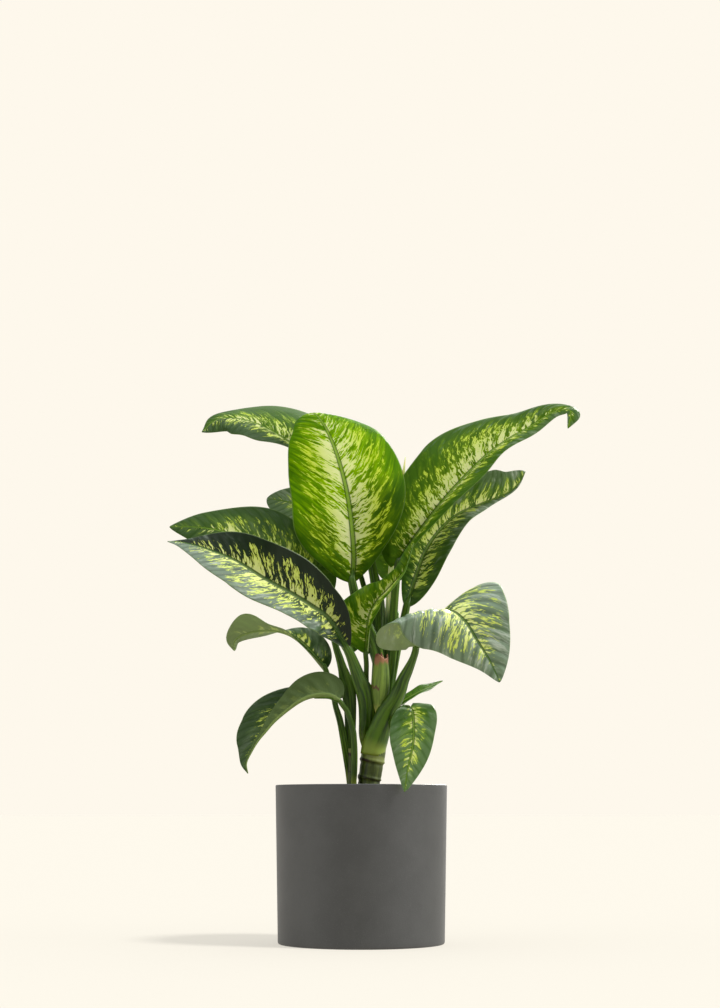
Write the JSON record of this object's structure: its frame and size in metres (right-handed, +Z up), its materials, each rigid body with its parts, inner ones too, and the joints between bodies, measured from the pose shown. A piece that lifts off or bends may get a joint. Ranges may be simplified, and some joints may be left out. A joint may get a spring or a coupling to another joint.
{
  "type": "potted dieffenbachia",
  "caption": "Leafy house plant with cream-streaked green blades on sheathing stalks, on canes rooted in the soil of a round, straight-sided dark grey planter.",
  "frame": {"origin": "centre of the flat underside of the pot", "axes": "+Z up along the pot's axis; the plant faces -Y, and +X is to its viewer's right"},
  "size_m": [0.502, 0.3385, 0.6637],
  "materials": {
    "pot": "matt dark grey glaze",
    "soil": "crumbly potting mix, dry on top",
    "cane": "smooth green bark with pale leaf scars",
    "leaf": "glossy, green with cream-yellow streaks",
    "new_leaf": "satin, cream with a green edge",
    "husk": "dull green, brown and papery at the torn end"
  },
  "bodies": {
    "root": {"pot": "pot", "soil": "soil", "main_cane": "cane", "side_cane": "cane", "spent_sheath": "husk", "leaf_upright": "leaf", "leaf_top_left": "leaf", "leaf_top_right": "leaf", "leaf_right": "leaf", "leaf_right_drooping": "leaf", "leaf_centre": "leaf", "leaf_left": "leaf", "leaf_left_upper": "leaf", "leaf_back_small": "leaf", "leaf_low_left_twisted": "leaf", "leaf_low_left_arching": "leaf", "leaf_low_right_hanging": "leaf", "leaf_low_right_narrow": "leaf", "leaf_back_upper": "leaf", "leaf_back_right": "leaf", "leaf_back_left": "leaf", "leaf_back_low": "leaf", "rolled_leaf": "new_leaf"}
  },
  "joints": []
}
